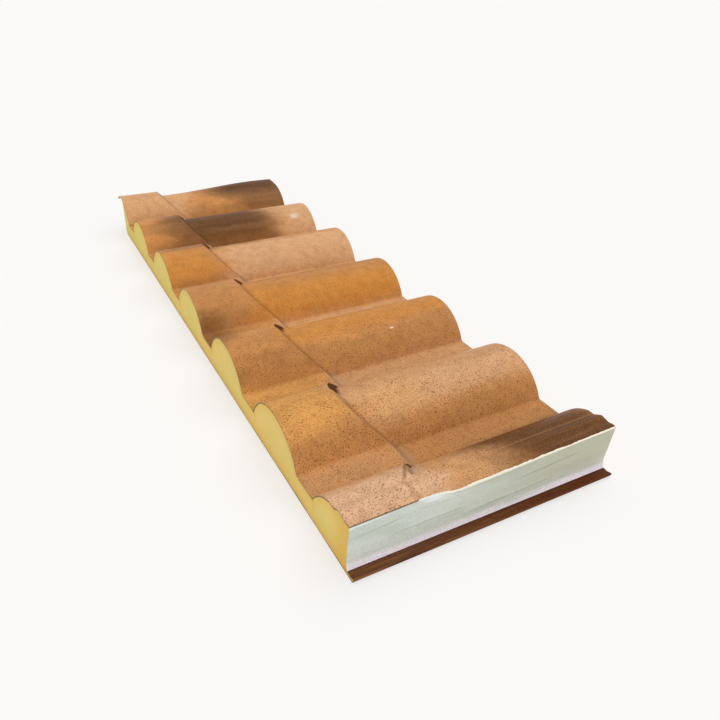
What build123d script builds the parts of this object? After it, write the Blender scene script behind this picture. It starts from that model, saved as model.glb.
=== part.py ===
from build123d import *
import os
from math import cos, radians, sin, sqrt

# Piece of insulated roof panel with a tile-effect skin, cut from a longer panel.
# X runs down the roof, along the ribs. Y runs across the ribs, from the edge that the
# next panel covers to the edge that covers the one before. Z is up, and Z = 0 is the
# underside. The origin is in the middle of the underside of the whole outline.
# Millimetres and degrees.

# Covering width and the waves in it
cover_width = 1000.0
wave_count = 6
wave_pitch = cover_width / wave_count

# Length of the piece, between its two saw cuts
sample_length = 342.0

# One wave: a barrel, which is an arc of a circle, and a flat pan beside it
barrel_width = 128.0
barrel_rise = 40.0
foot_radius = 6.0

# One course of tiles: the skin rises to the nose of the course and drops at the step, the
# ribs of the side lap by less than the pans
course_length = 350.0
step_height = 10.0
rib_step = 7.0
head_height = 23.0
step_rake = 45.0
pan_nose_from_cut = 115.0

# Steel and facing thicknesses
skin_gauge = 0.5
liner_gauge = 0.5
facing_gauge = 0.4

# Rib under the side lap, seen from its foot: flank, ledge, weather bead, landing with its rim
flank_run = 36.0
flank_rise = 27.8
flank_radius = 60.0
ledge_width = 9.0
bead_run = 10.0
bead_rise = 5.6
bead_fall_run = 11.5
bead_fall = 2.8
landing_width = 10.8
landing_lift = 1.2
landing_lift_run = 4.9
rim_fall = 1.1
rim_run = 2.1
bead_radius = 4.0

# Rib over the side lap: it passes its crest and ends in a lip that is bent down
lap_past_crest = 24.0
lap_lip_run = 5.0
lap_gap = 1.5

# Edge faces of the core
far_face_before_crest = 19.5
near_face_lean = 2.6
near_face_turn_height = 13.0
near_face_turn_radius = 10.0
near_face_foot = 0.6

# Tongue of the liner on the near edge, and the rebate that takes the next one
tongue_reach = 13.0
tongue_height = 5.2
tongue_dip = 1.7
tongue_nose_lean = 1.8
tongue_nose_radius = 1.2
tongue_root_run = 6.0
tongue_clearance = 0.6
rebate_radius = 1.5

# How close two coordinates are when they count as the same
same = 0.01

# Worked out from the values above
rib_lift = step_height - rib_step
barrel_radius = ((barrel_width / 2) ** 2 + barrel_rise**2) / (2 * barrel_rise)
pan_width = wave_pitch - barrel_width
bead_run_total = bead_run + bead_fall_run + landing_width
near_edge = -(flank_run + ledge_width + bead_run_total)
tongue_tip = near_edge - tongue_reach
lap_crest = cover_width - barrel_width / 2
far_edge = lap_crest + lap_past_crest + lap_lip_run
far_face = lap_crest - far_face_before_crest
rebate_wall = cover_width + tongue_tip - tongue_clearance
rebate_height = tongue_height + tongue_clearance
middle = (tongue_tip + far_edge) / 2
upper_cut = -sample_length / 2
pan_nose = upper_cut + pan_nose_from_cut
nose_height = head_height + step_height
top_height = nose_height + barrel_rise
near_foot_height = tongue_height - tongue_dip / 2
overrun = 30.0


def across(x):
    """Plane across the ribs at x: its first axis is Y, counted from the foot of the first rib."""
    return Plane(origin=(x, -middle, 0), x_dir=(0, 1, 0), z_dir=(1, 0, 0))


def barrel_height(from_crest):
    """Height of a barrel above the pan, at a distance from its crest."""
    return sqrt(barrel_radius**2 - from_crest**2) - (barrel_radius - barrel_rise)


def skin_profile(lift):
    """Draws the pressed outline of the skin: Y from the foot of the first rib, height from the pans.

    The ribs of the side lap are drawn higher by the lift.
    """
    ledge = flank_rise + lift
    bead = ledge + bead_rise
    crease = bead - bead_fall
    landing = crease + landing_lift
    ledge_end = -flank_run - ledge_width
    bead_top = ledge_end - bead_run
    crease_at = bead_top - bead_fall_run
    rim_drop = rim_fall * (rim_run + overrun) / rim_run
    lap_turn = lap_crest + lap_past_crest
    lap_top = barrel_height(lap_past_crest)
    lip_end = ledge + skin_gauge + lap_gap
    lip_slope = (lip_end - lap_top) / lap_lip_run
    with BuildLine() as outline:
        Polyline(
            (near_edge - overrun, landing - rim_drop),
            (near_edge + rim_run, landing),
            (crease_at - landing_lift_run, landing),
            (crease_at, crease),
            (bead_top, bead),
            (ledge_end, ledge),
            (-flank_run, ledge),
        )
        RadiusArc((-flank_run, ledge), (0, 0), flank_radius)
        for wave in range(wave_count):
            start = wave * wave_pitch
            foot = start + pan_width
            Line((start, 0), (foot, 0))
            if wave < wave_count - 1:
                crest = (foot + barrel_width / 2, barrel_rise)
                ThreePointArc((foot, 0), crest, (foot + barrel_width, 0))
        ThreePointArc((foot, 0), (lap_crest, barrel_rise), (lap_turn, lap_top))
        Line((lap_turn, lap_top), (far_edge + overrun, lip_end + lip_slope * overrun))
    rib_corners = outline.vertices().filter_by(lambda v: near_edge < v.X < -flank_run / 2)
    profile = outline.wire().fillet_2d(bead_radius, rib_corners)
    feet = profile.vertices().filter_by(lambda v: abs(v.Y) < same)
    return profile.fillet_2d(foot_radius, feet)


def under_skin(inset, low, high):
    """Makes the block under the skin, inset by some of its thickness, between two Y values."""
    depth = -2 * nose_height
    rake = radians(step_rake)
    riser = Plane(
        origin=(pan_nose - inset / cos(rake), 0, nose_height),
        x_dir=(0, 1, 0),
        z_dir=(cos(rake), 0, sin(rake)),
    )
    courses = []
    for pan, lift, kept in ((nose_height, 0.0, Keep.BOTTOM), (head_height, rib_lift, Keep.TOP)):
        profile = skin_profile(lift)
        if inset > 0:
            profile = profile.offset_2d(-inset, side=Side.RIGHT, closed=False)
        start = profile @ 0
        end = profile @ 1
        course_plane = Plane(
            origin=(pan_nose, -middle, pan),
            x_dir=(0, 1, 0),
            z_dir=(course_length, 0, step_height),
        )
        with BuildPart() as course:
            with BuildSketch(course_plane):
                with BuildLine():
                    add(profile)
                    Polyline(end, (end.X, depth), (start.X, depth), start)
                make_face()
            extrude(amount=sample_length, both=True)
            split(bisect_by=riser, keep=kept)
        courses.append(course.part)
    with BuildPart() as block:
        add(courses)
        with Locations((0, (low + high) / 2 - middle, 0)):
            Box(
                sample_length,
                high - low,
                2 * top_height,
                align=(Align.CENTER, Align.CENTER, Align.MIN),
                mode=Mode.INTERSECT,
            )
    return block.part


def liner_path():
    """Draws the outer face of the liner, from the root of its tongue to the far face."""
    foot = (near_edge - near_face_foot, near_foot_height)
    with BuildLine() as outline:
        Polyline(
            (near_edge + tongue_root_run, foot[1]),
            foot,
            (near_edge - tongue_reach / 2, tongue_height - tongue_dip),
            (tongue_tip + tongue_nose_lean / 2, tongue_height),
            (tongue_tip, tongue_height - tongue_nose_lean),
            (tongue_tip + tongue_nose_lean, 0),
            (rebate_wall, 0),
            (rebate_wall, rebate_height),
            (far_face, rebate_height),
        )
    path = outline.wire()
    nose = path.vertices().filter_by(lambda v: v.X < tongue_tip + tongue_nose_lean + same)
    path = path.fillet_2d(tongue_nose_radius, nose)
    rebate = path.vertices().filter_by(lambda v: abs(v.X - rebate_wall) < same)
    return path.fillet_2d(rebate_radius, rebate)


def near_face_path():
    """Draws the outer face of the near facing, from above the skin to its foot on the tongue."""
    with BuildLine() as outline:
        Polyline(
            (near_edge, top_height),
            (near_edge, nose_height + flank_rise),
            (near_edge + near_face_lean, near_face_turn_height),
            (near_edge - near_face_foot, near_foot_height - liner_gauge / 2),
        )
    path = outline.wire()
    turn = path.vertices().filter_by(lambda v: v.X > near_edge + near_face_lean / 2)
    return path.fillet_2d(near_face_turn_radius, turn)


def band(path, thickness, side):
    """Makes the region between an open path and its parallel on one side."""
    with BuildSketch() as region:
        with BuildLine():
            add(path.offset_2d(thickness, side=side, closed=True))
        make_face()
    return region.sketch


liner_section = band(liner_path(), liner_gauge, Side.LEFT)
near_facing_section = band(near_face_path(), facing_gauge, Side.LEFT) - liner_section
with BuildSketch() as far_facing:
    with Locations((far_face - facing_gauge, rebate_height)):
        Rectangle(facing_gauge, top_height, align=Align.MIN)
    add(liner_section, mode=Mode.SUBTRACT)
far_facing_section = far_facing.sketch

# The core fills what the liner and the two facings close off
with BuildSketch() as core_outline:
    with Locations((tongue_tip, 0)):
        Rectangle(far_face - tongue_tip, top_height, align=Align.MIN)
    add(liner_section, mode=Mode.SUBTRACT)
    add(near_facing_section, mode=Mode.SUBTRACT)
    add(far_facing_section, mode=Mode.SUBTRACT)
core_section = core_outline.sketch.faces().sort_by(SortBy.AREA)[-1]

with BuildPart() as top_sheet:
    add(under_skin(0, near_edge, far_edge))
    add(under_skin(skin_gauge, near_edge, far_edge), mode=Mode.SUBTRACT)
top_sheet.part.label = "top_sheet"

below_the_skin = under_skin(skin_gauge, tongue_tip - overrun / 2, far_face + overrun / 2)

with BuildPart() as foam_core:
    with BuildSketch(across(upper_cut)):
        add(core_section)
    extrude(amount=sample_length)
    add(below_the_skin, mode=Mode.INTERSECT)
foam_core.part.label = "foam_core"

with BuildPart() as near_edge_facing:
    with BuildSketch(across(upper_cut)):
        add(near_facing_section)
    extrude(amount=sample_length)
    add(below_the_skin, mode=Mode.INTERSECT)
near_edge_facing.part.label = "near_edge_facing"

with BuildPart() as far_edge_facing:
    with BuildSketch(across(upper_cut)):
        add(far_facing_section)
    extrude(amount=sample_length)
    add(below_the_skin, mode=Mode.INTERSECT)
far_edge_facing.part.label = "far_edge_facing"

with BuildPart() as liner_sheet:
    with BuildSketch(across(upper_cut)):
        add(liner_section)
    extrude(amount=sample_length)
liner_sheet.part.label = "liner_sheet"

os.makedirs("parts", exist_ok=True)
for piece in (top_sheet, foam_core, near_edge_facing, far_edge_facing, liner_sheet):
    export_step(piece.part, f"parts/{piece.part.label}.step")
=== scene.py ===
"""Looks of a cut piece of insulated roof panel with a tile-effect skin.

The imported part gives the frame: X runs down the roof along the ribs, Y across them from the
underlap edge to the overlap edge, and Z is up from the underside. All sizes are in metres.
"""

import logging
import math
from dataclasses import dataclass, field
from enum import Enum

import bmesh
import bpy
from mathutils import Matrix, Vector, noise


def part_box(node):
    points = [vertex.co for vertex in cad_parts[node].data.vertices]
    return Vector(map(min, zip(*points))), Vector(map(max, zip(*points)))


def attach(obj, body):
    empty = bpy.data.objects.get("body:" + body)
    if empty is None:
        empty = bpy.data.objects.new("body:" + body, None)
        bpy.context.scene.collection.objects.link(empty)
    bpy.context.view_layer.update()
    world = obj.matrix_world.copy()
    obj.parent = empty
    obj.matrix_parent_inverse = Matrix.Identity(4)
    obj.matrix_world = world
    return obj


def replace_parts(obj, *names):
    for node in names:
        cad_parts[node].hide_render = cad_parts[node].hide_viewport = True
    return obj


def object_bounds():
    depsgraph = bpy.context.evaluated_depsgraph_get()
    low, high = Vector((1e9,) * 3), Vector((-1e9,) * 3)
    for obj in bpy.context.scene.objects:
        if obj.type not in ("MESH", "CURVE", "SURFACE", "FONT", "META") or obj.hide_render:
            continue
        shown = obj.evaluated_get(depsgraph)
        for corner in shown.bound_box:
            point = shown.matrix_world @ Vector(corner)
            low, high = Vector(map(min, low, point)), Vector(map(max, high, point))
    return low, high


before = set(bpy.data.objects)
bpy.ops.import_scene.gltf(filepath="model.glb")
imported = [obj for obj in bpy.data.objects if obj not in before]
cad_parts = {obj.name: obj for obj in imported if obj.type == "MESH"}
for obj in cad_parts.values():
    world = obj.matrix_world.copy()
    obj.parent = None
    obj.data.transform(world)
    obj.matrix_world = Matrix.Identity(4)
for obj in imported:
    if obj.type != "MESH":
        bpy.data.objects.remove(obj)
CAD_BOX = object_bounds()

LOG = logging.getLogger("roof_panel")
BODY = "root"

# Vertices nearer than this are one, and a point nearer than PLANE_DIST lies in a plane
MERGE_DIST = 1e-6
PLANE_DIST = 1e-5

# A colour as it looks on a screen: red, green and blue from 0 to 255
Shade = tuple[int, int, int]


class Sock:
    """A node's output socket that builds Math nodes from ordinary arithmetic."""

    def __init__(self, bench: "Bench", socket: bpy.types.NodeSocket) -> None:
        """Keeps the socket and the bench that its new nodes go to."""
        self.bench = bench
        self.socket = socket

    def _math(self, operation: str, *values: object) -> "Sock":
        """Adds one Math node over these values."""
        return self.bench.node("ShaderNodeMath", {"operation": operation}, *values)

    def __add__(self, other: object) -> "Sock":
        """Sum."""
        return self._math("ADD", self, other)

    def __sub__(self, other: object) -> "Sock":
        """Difference."""
        return self._math("SUBTRACT", self, other)

    def __rsub__(self, other: object) -> "Sock":
        """Difference from a plain number."""
        return self._math("SUBTRACT", other, self)

    def __mul__(self, other: object) -> "Sock":
        """Product."""
        return self._math("MULTIPLY", self, other)

    def __abs__(self) -> "Sock":
        """Absolute value."""
        return self._math("ABSOLUTE", self)

    __radd__ = __add__
    __rmul__ = __mul__

    def smallest(self, other: object) -> "Sock":
        """The smaller of the two."""
        return self._math("MINIMUM", self, other)

    def largest(self, other: object) -> "Sock":
        """The larger of the two."""
        return self._math("MAXIMUM", self, other)

    def square_root(self) -> "Sock":
        """Square root."""
        return self._math("SQRT", self)

    def wrapped(self, span: float) -> "Sock":
        """The value wrapped into a span that has 0 in its middle."""
        return self._math("WRAP", self, span / 2, -span / 2)

    def rise(self, low: float, high: float) -> "Sock":
        """Smooth step: 0 below low, 1 above high, or the other way round if high is the smaller.

        Args:
            low: value where the step starts.
            high: value where the step is complete.

        Returns:
            The step as a socket.
        """
        settings = {"interpolation_type": "SMOOTHSTEP"}
        if low < high:
            return self.bench.node("ShaderNodeMapRange", settings, self, low, high, 0.0, 1.0)
        return self.bench.node("ShaderNodeMapRange", settings, self, high, low, 1.0, 0.0)


class Bench:
    """The node tree of a material or world, with the one method that adds nodes to it."""

    def __init__(self, owner: bpy.types.ID) -> None:
        """Starts an empty tree.

        Args:
            owner: the new material or world that the tree belongs to.
        """
        owner.use_nodes = True
        self.owner = owner
        self.tree = owner.node_tree
        self.tree.nodes.clear()

    def node(self, kind: str, settings: dict | None = None, *values: object, out: int | str = 0,
             **named: object) -> Sock:
        """Adds one node, with its settings first and then its inputs.

        Args:
            kind: the node's type.
            settings: attributes of the node, such as a Math node's operation or a ramp's stops.
            values: inputs by place, each a number, a colour, a vector, a Sock or None to skip it.
            out: the output to return, by place or name.
            named: inputs by name, with underscores for spaces.

        Returns:
            The chosen output.
        """
        node = self.tree.nodes.new(kind)
        for key, value in (settings or {}).items():
            if key == "stops":
                self._set_stops(node.color_ramp, value)
            else:
                setattr(node, key, value)
        for place, value in enumerate(values):
            if value is not None:
                self._feed(node.inputs[place], value)
        for key, value in named.items():
            self._feed(node.inputs[key.replace("_", " ")], value)
        return Sock(self, node.outputs[out])

    def _feed(self, socket: bpy.types.NodeSocket, value: object) -> None:
        """Links a Sock, or sets a plain value.

        Args:
            socket: the input.
            value: what it gets. A colour may come without its alpha.
        """
        if isinstance(value, Sock):
            self.tree.links.new(value.socket, socket)
        elif hasattr(value, "__len__") and len(value) == 3 and socket.type == "RGBA":
            socket.default_value = (*value, 1.0)
        else:
            socket.default_value = value

    @staticmethod
    def _set_stops(ramp: bpy.types.ColorRamp, stops: list) -> None:
        """Gives a colour ramp its stops.

        Args:
            ramp: the ramp.
            stops: a place and a linear colour for each.
        """
        while len(ramp.elements) < len(stops):
            ramp.elements.new(1.0)
        for element, (place, colour) in zip(ramp.elements, stops):
            element.position = place
            element.color = (*colour, 1.0)

    def place(self) -> Sock:
        """The point on the object, in metres in the part's frame."""
        return self.node("ShaderNodeTexCoord", out="Object")

    def attribute(self, name: str) -> Sock:
        """A number that the mesh carries on its vertices."""
        return self.node("ShaderNodeAttribute", {"attribute_name": name}, out="Fac")

    def parts(self, vector: Sock) -> tuple[Sock, Sock, Sock]:
        """Splits a vector into its three values."""
        first = self.node("ShaderNodeSeparateXYZ", None, vector)
        return tuple(Sock(self, output) for output in first.socket.node.outputs)

    def stretched(self, vector: Sock, scale: tuple[float, float, float]) -> Sock:
        """Scales a vector along each axis."""
        return self.node("ShaderNodeMapping", None, vector, Scale=scale)

    def grain(self, vector: Sock, scale: float, detail: float = 2.0, roughness: float = 0.5,
              stretch: tuple[float, float, float] | None = None) -> Sock:
        """Noise of one scale, from about 0 to 1.

        Args:
            vector: the point.
            scale: how many cells there are to a metre.
            detail: how many finer layers it has.
            roughness: how strong the finer layers are.
            stretch: scale of the point along each axis. Less than 1 draws the noise out.

        Returns:
            The noise.
        """
        if stretch:
            vector = self.stretched(vector, stretch)
        return self.node("ShaderNodeTexNoise", None, Vector=vector, Scale=scale, Detail=detail,
                         Roughness=roughness)

    def blend(self, share: object, first: object, second: object, mode: str = "MIX") -> Sock:
        """Mixes two colours.

        Args:
            share: how much of the second colour shows, from 0 to 1.
            first: the colour below.
            second: the colour above.
            mode: the Mix node's blend type.

        Returns:
            The mixed colour.
        """
        unused = (None,) * 5
        return self.node("ShaderNodeMix", {"data_type": "RGBA", "blend_type": mode}, share, *unused,
                         first, second, out=2)

    def coats(self, colour: Sock, *coats: tuple[object, Shade]) -> Sock:
        """Lays coats of colour one over another.

        Args:
            colour: the colour below them.
            coats: for each, how much of it shows, and its colour.

        Returns:
            The colour on top.
        """
        for share, shade in coats:
            colour = self.blend(share, colour, linear(shade))
        return colour

    def choice(self, share: Sock, first: object, second: object) -> Sock:
        """Mixes two numbers: the first where share is 0, the second where it is 1."""
        return self.node("ShaderNodeMix", {"data_type": "FLOAT"}, share, None, first, second)

    def mixed(self, share: Sock, first: Sock, second: Sock) -> Sock:
        """Mixes two shaders."""
        return self.node("ShaderNodeMixShader", None, share, first, second)

    def seen(self) -> Sock:
        """Tells what the camera sees, also in gloss or through glass, from other light.

        Returns:
            1 for what it sees, and 0 for the rest.
        """
        seen = self.node("ShaderNodeLightPath", out="Is Camera Ray")
        for name in ("Is Glossy Ray", "Is Transmission Ray"):
            seen = seen.largest(self.node("ShaderNodeLightPath", out=name))
        return seen

    def bump(self, height: Sock, distance: float, strength: float = 1.0) -> Sock:
        """A bumped normal, for a height from 0 to 1 over that distance in metres."""
        return self.node("ShaderNodeBump", None, Strength=strength, Distance=distance,
                         Height=height)

    def surface(self, **inputs: object) -> bpy.types.Material:
        """Ends a material's tree in one shader.

        Args:
            inputs: the shader's inputs by name, with underscores for spaces.

        Returns:
            The finished material.
        """
        self.end(self.node("ShaderNodeBsdfPrincipled", None, **inputs))
        return self.owner

    def end(self, shader: Sock, kind: str = "ShaderNodeOutputMaterial") -> None:
        """Links a shader to the tree's output."""
        output = self.tree.nodes.new(kind)
        self.tree.links.new(shader.socket, output.inputs["Surface"])


def linear(shade: Shade) -> tuple[float, float, float]:
    """Turns a screen colour into the linear values that shaders take.

    Args:
        shade: the screen colour.

    Returns:
        The linear colour.
    """
    def channel(value: int) -> float:
        """One channel's linear value."""
        share = value / 255
        return share / 12.92 if share <= 0.04045 else ((share + 0.055) / 1.055) ** 2.4
    return tuple(channel(value) for value in shade)


class Ink(Enum):
    """Colours of the terracotta print, and one of painted shade for the pocket at the step."""

    TERRACOTTA = (208, 144, 81)
    PEACH = (217, 169, 125)
    ROSE = (225, 183, 147)
    TAN = (204, 155, 108)
    AMBER = (203, 136, 60)
    GOLD = (222, 163, 87)
    RUST = (186, 131, 77)
    UMBER = (137, 96, 57)
    SCORCH = (74, 42, 10)
    # painted shade for the pocket at the end of the step
    POCKET_SHADE = (62, 44, 32)
    # pale grey, for the bloom in the pans below the step and a smear on the underlap rib's flank
    GREY = (172, 160, 144)
    PALE = (238, 220, 200)

    def colour(self) -> tuple[float, float, float]:
        """The ink's linear colour."""
        return linear(self.value)


@dataclass(frozen=True)
class InkPatch:
    """One soft-edged patch of the print, placed by the wave that it lies on.

    Waves are counted from the overlap rib, and the seventh is the underlap rib. along is X, and
    across is measured from the wave's crest line towards the overlap. slant is how much X shifts
    across the wave.
    """

    wave: int
    ink: Ink
    along: tuple[float, float]
    across: tuple[float, float]
    share: float
    soft_along: float = 0.03
    soft_across: float = 0.012
    slant: float = 0.0


PRINT = (
    InkPatch(1, Ink.PEACH, (-0.20, -0.04), (-0.064, 0.040), 0.75),
    InkPatch(1, Ink.UMBER, (0.06, 0.20), (-0.064, -0.016), 0.95, 0.040, 0.010),
    InkPatch(1, Ink.UMBER, (-0.03, 0.20), (0.004, 0.050), 0.55),
    InkPatch(1, Ink.SCORCH, (0.02, 0.20), (-0.024, 0.050), 0.95, 0.050, 0.016),
    InkPatch(2, Ink.UMBER, (-0.135, 0.10), (-0.070, 0.070), 0.80, 0.030, 0.010),
    InkPatch(2, Ink.SCORCH, (-0.090, 0.07), (-0.056, 0.020), 0.82, 0.035, 0.016),
    # Pale lengthwise band on wave 2's near slope: painted sheen.
    InkPatch(2, Ink.TAN, (-0.06, 0.10), (-0.044, -0.036), 0.16, 0.040, 0.006),
    InkPatch(2, Ink.PEACH, (0.10, 0.20), (-0.070, 0.070), 0.85, 0.035),
    # Pale spot on wave 2's near slope: painted highlight.
    InkPatch(2, Ink.PALE, (0.124, 0.142), (-0.039, -0.029), 0.75, 0.008, 0.004),
    InkPatch(3, Ink.UMBER, (-0.165, -0.08), (0.000, 0.060), 0.75, 0.020),
    InkPatch(3, Ink.UMBER, (-0.09, 0.01), (0.012, 0.060), 0.60),
    InkPatch(3, Ink.AMBER, (-0.20, -0.085), (-0.060, -0.005), 0.75),
    InkPatch(3, Ink.PEACH, (-0.07, 0.20), (-0.066, 0.006), 0.85),
    InkPatch(4, Ink.AMBER, (-0.085, 0.20), (-0.066, 0.064), 0.90, 0.012),
    InkPatch(4, Ink.RUST, (-0.06, 0.20), (-0.016, 0.064), 0.60),
    # Darker band along wave 4's crest: painted shade.
    InkPatch(4, Ink.UMBER, (-0.085, 0.20), (0.014, 0.064), 0.32),
    InkPatch(4, Ink.RUST, (-0.20, -0.09), (-0.050, 0.070), 0.60),
    InkPatch(4, Ink.TAN, (-0.125, -0.09), (-0.010, 0.020), 0.12),
    InkPatch(4, Ink.SCORCH, (-0.20, -0.130), (-0.100, -0.046), 0.62, 0.028, 0.012),
    InkPatch(4, Ink.PEACH, (-0.06, 0.20), (-0.086, -0.065), 0.60),
    InkPatch(5, Ink.SCORCH, (-0.20, -0.150), (0.005, 0.075), 0.55, 0.022),
    InkPatch(5, Ink.UMBER, (-0.20, -0.090), (-0.063, -0.025), 0.30),
    InkPatch(5, Ink.AMBER, (-0.09, 0.20), (-0.020, 0.050), 0.85, 0.015),
    InkPatch(5, Ink.RUST, (-0.09, 0.20), (-0.064, -0.031), 0.85, 0.015, 0.006),
    InkPatch(5, Ink.PALE, (0.0625, 0.0675), (-0.0335, -0.0310), 1.0, 0.0012, 0.0012),
    InkPatch(5, Ink.GOLD, (-0.120, -0.060), (0.010, 0.040), 0.22),
    InkPatch(5, Ink.GOLD, (-0.20, -0.070), (-0.100, -0.064), 0.60),
    InkPatch(5, Ink.TAN, (-0.055, 0.20), (-0.100, -0.064), 0.80, 0.010),
    InkPatch(6, Ink.GOLD, (-0.20, -0.090), (-0.045, 0.035), 0.68, 0.020, 0.022),
    InkPatch(6, Ink.RUST, (-0.20, 0.20), (-0.064, -0.044), 0.75),
    InkPatch(6, Ink.TAN, (-0.09, 0.20), (-0.008, 0.055), 0.85, 0.015),
    InkPatch(6, Ink.PEACH, (-0.07, 0.20), (-0.040, 0.004), 0.75),
    InkPatch(6, Ink.GOLD, (-0.07, 0.01), (-0.036, 0.004), 0.30),
    InkPatch(6, Ink.RUST, (0.04, 0.20), (-0.064, -0.036), 0.60),
    InkPatch(6, Ink.TAN, (-0.20, -0.070), (-0.104, -0.066), 0.60),
    InkPatch(6, Ink.UMBER, (-0.20, 0.20), (-0.104, -0.072), 0.14),
    InkPatch(6, Ink.RUST, (-0.055, 0.20), (-0.104, -0.066), 0.80, 0.010),
    InkPatch(7, Ink.ROSE, (-0.20, -0.05), (-0.020, 0.052), 0.85, 0.020, 0.022),
    InkPatch(7, Ink.TAN, (-0.05, 0.04), (-0.020, 0.056), 0.80, 0.030, 0.018),
    InkPatch(7, Ink.SCORCH, (0.03, 0.20), (-0.030, 0.064), 0.92, 0.045, slant=0.5),
    # Thin light line along the ledge crease of the underlap rib: painted highlight.
    InkPatch(7, Ink.TAN, (-0.030, 0.20), (0.0200, 0.0215), 0.24, 0.040, 0.0009),
    InkPatch(7, Ink.RUST, (0.080, 0.20), (0.0065, 0.0075), 0.14, 0.040, 0.0009),
    InkPatch(7, Ink.RUST, (0.060, 0.20), (0.0400, 0.0430), 0.12, 0.040, 0.0016),
    InkPatch(7, Ink.GREY, (-0.080, -0.060), (0.030, 0.046), 0.35, 0.008, 0.0055),
    # Soft brown band over the eased step of the underlap rib, and the dark pocket with its tail on
    # the flank: painted shade.
    InkPatch(7, Ink.UMBER, (-0.0975, -0.0925), (-0.013, 0.019), 0.36, 0.004, 0.0055),
    InkPatch(7, Ink.POCKET_SHADE, (-0.1065, -0.1040), (0.020, 0.050), 0.55, 0.003, 0.0055, -0.68),
)


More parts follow.
